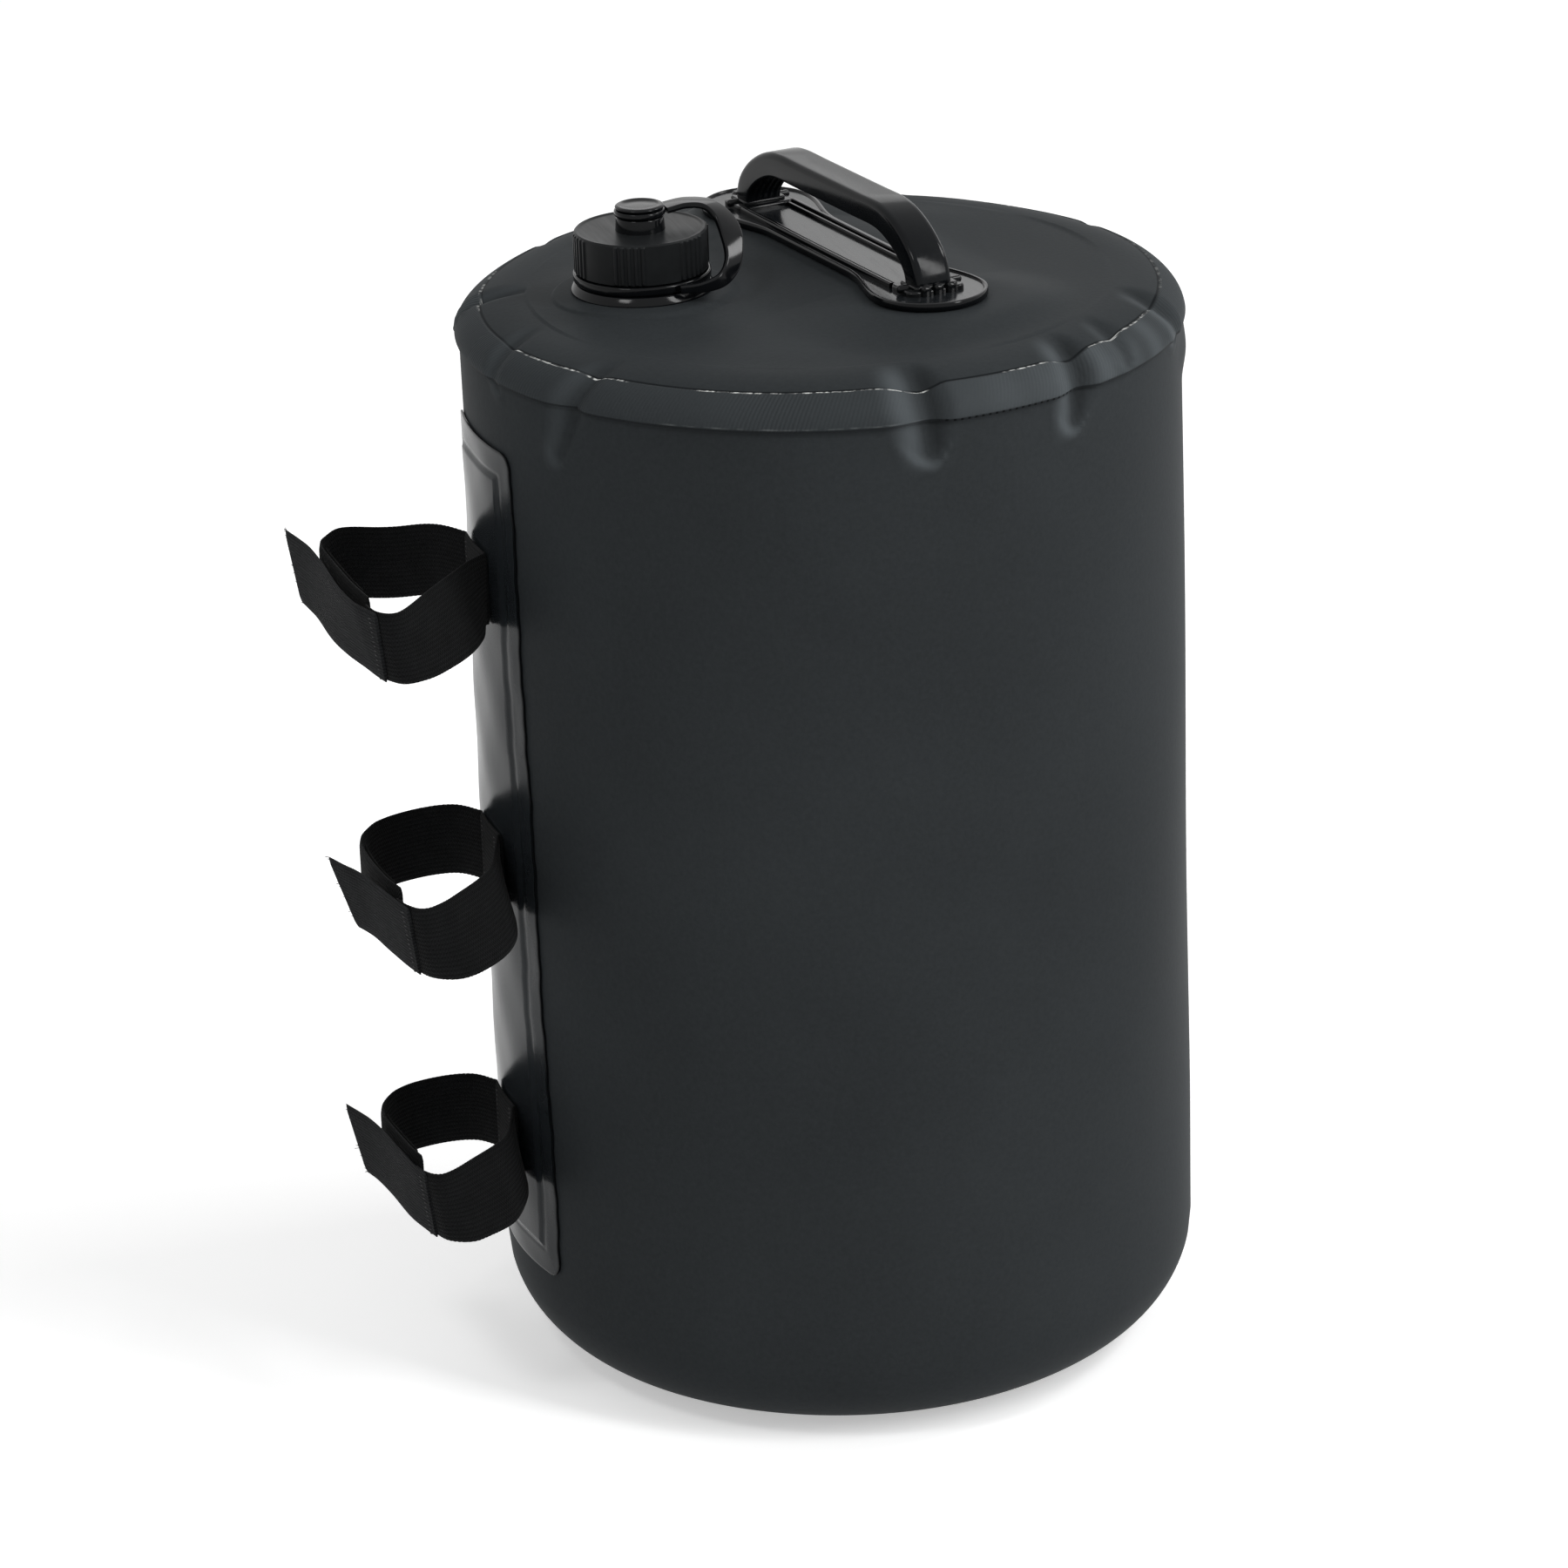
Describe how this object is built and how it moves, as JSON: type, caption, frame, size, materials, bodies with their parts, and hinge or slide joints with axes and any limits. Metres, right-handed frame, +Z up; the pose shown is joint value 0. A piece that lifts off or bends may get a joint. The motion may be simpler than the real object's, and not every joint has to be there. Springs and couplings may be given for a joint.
{
  "type": "water bag",
  "caption": "Soft round water weight bag with a capped filler neck, a top carrying handle and hook-and-loop straps that hold it to a shelter leg.",
  "frame": {"origin": "centre of the flat base, on the bag's axis", "axes": "+Z up along the bag's axis, -X towards the straps and the leg they hold"},
  "size_m": [0.2959, 0.2398, 0.4027],
  "materials": {
    "bag_sheet": "matte",
    "panel_sheet": "semi-gloss",
    "gloss_moulding": "glossy",
    "satin_cap": "satin",
    "soft_seal": "matte",
    "webbing": "woven",
    "hook_tape": "woven",
    "loop_pile": "pile"
  },
  "bodies": {
    "bag": {"side_wall": "bag_sheet", "top_panel": "bag_sheet", "bottom_panel": "bag_sheet", "strap_panel": "panel_sheet", "filler_neck": "gloss_moulding", "tether_ring": "gloss_moulding", "tether_strap": "gloss_moulding", "handle_base": "gloss_moulding", "handle_grip": "gloss_moulding", "upper_strap_root": "webbing", "middle_strap_root": "webbing", "lower_strap_root": "webbing"},
    "button_eye": {"tether_eye": "gloss_moulding"},
    "screw_cap": {"cap": "satin_cap", "cap_seal": "soft_seal"},
    "upper_near_arm": {"upper_near_arm": "webbing"},
    "upper_far_arm": {"upper_far_arm": "webbing", "upper_loop_tape": "loop_pile"},
    "upper_tab": {"upper_hook_tape": "hook_tape"},
    "middle_near_arm": {"middle_near_arm": "webbing"},
    "middle_far_arm": {"middle_far_arm": "webbing", "middle_loop_tape": "loop_pile"},
    "middle_tab": {"middle_hook_tape": "hook_tape"},
    "lower_near_arm": {"lower_near_arm": "webbing"},
    "lower_far_arm": {"lower_far_arm": "webbing", "lower_loop_tape": "loop_pile"},
    "lower_tab": {"lower_hook_tape": "hook_tape"}
  },
  "joints": [
    {"name": "cap_lift", "type": "slide", "parent": "bag", "child": "button_eye", "axis": [0, 0, 1], "range_m": [0, 0.00751], "deforming": ["tether_strap"]},
    {"name": "cap_turn", "type": "hinge", "parent": "button_eye", "child": "screw_cap", "pos_m": [-0.0587, 0.0047, 0.381], "axis": [0, 0, 1], "range_deg": [0, 540]},
    {"name": "upper_near_fold", "type": "hinge", "parent": "bag", "child": "upper_near_arm", "pos_m": [-0.1216, -0.01205, 0.284], "axis": [0, 0, 1], "range_deg": [0, 10.5]},
    {"name": "upper_tab_opening", "type": "hinge", "parent": "upper_near_arm", "child": "upper_tab", "pos_m": [-0.16949, -0.04375, 0.284], "axis": [0, 0, 1], "range_deg": [0, 130]},
    {"name": "upper_far_fold", "type": "hinge", "parent": "bag", "child": "upper_far_arm", "pos_m": [-0.1216, 0.01205, 0.284], "axis": [0, 0, -1], "range_deg": [0, 21]},
    {"name": "middle_near_fold", "type": "hinge", "parent": "bag", "child": "middle_near_arm", "pos_m": [-0.1216, -0.01205, 0.185], "axis": [0, 0, 1], "range_deg": [0, 10.5]},
    {"name": "middle_tab_opening", "type": "hinge", "parent": "middle_near_arm", "child": "middle_tab", "pos_m": [-0.16734, -0.0515, 0.185], "axis": [0, 0, 1], "range_deg": [0, 130]},
    {"name": "middle_far_fold", "type": "hinge", "parent": "bag", "child": "middle_far_arm", "pos_m": [-0.1216, 0.01205, 0.185], "axis": [0, 0, -1], "range_deg": [0, 21]},
    {"name": "lower_near_fold", "type": "hinge", "parent": "bag", "child": "lower_near_arm", "pos_m": [-0.1216, -0.01205, 0.086], "axis": [0, 0, 1], "range_deg": [0, 10.5]},
    {"name": "lower_tab_opening", "type": "hinge", "parent": "lower_near_arm", "child": "lower_tab", "pos_m": [-0.16451, -0.0445, 0.086], "axis": [0, 0, 1], "range_deg": [0, 130]},
    {"name": "lower_far_fold", "type": "hinge", "parent": "bag", "child": "lower_far_arm", "pos_m": [-0.1216, 0.01205, 0.086], "axis": [0, 0, -1], "range_deg": [0, 21]}
  ],
  "couplings": [
    {"joint": "cap_lift", "follows": "cap_turn", "m_per_rad": 0.00079577},
    {"joint": "upper_near_fold", "follows": "upper_tab_opening", "ratio": 0.08},
    {"joint": "upper_far_fold", "follows": "upper_tab_opening", "ratio": 0.16},
    {"joint": "middle_near_fold", "follows": "middle_tab_opening", "ratio": 0.08},
    {"joint": "middle_far_fold", "follows": "middle_tab_opening", "ratio": 0.16},
    {"joint": "lower_near_fold", "follows": "lower_tab_opening", "ratio": 0.08},
    {"joint": "lower_far_fold", "follows": "lower_tab_opening", "ratio": 0.16}
  ]
}
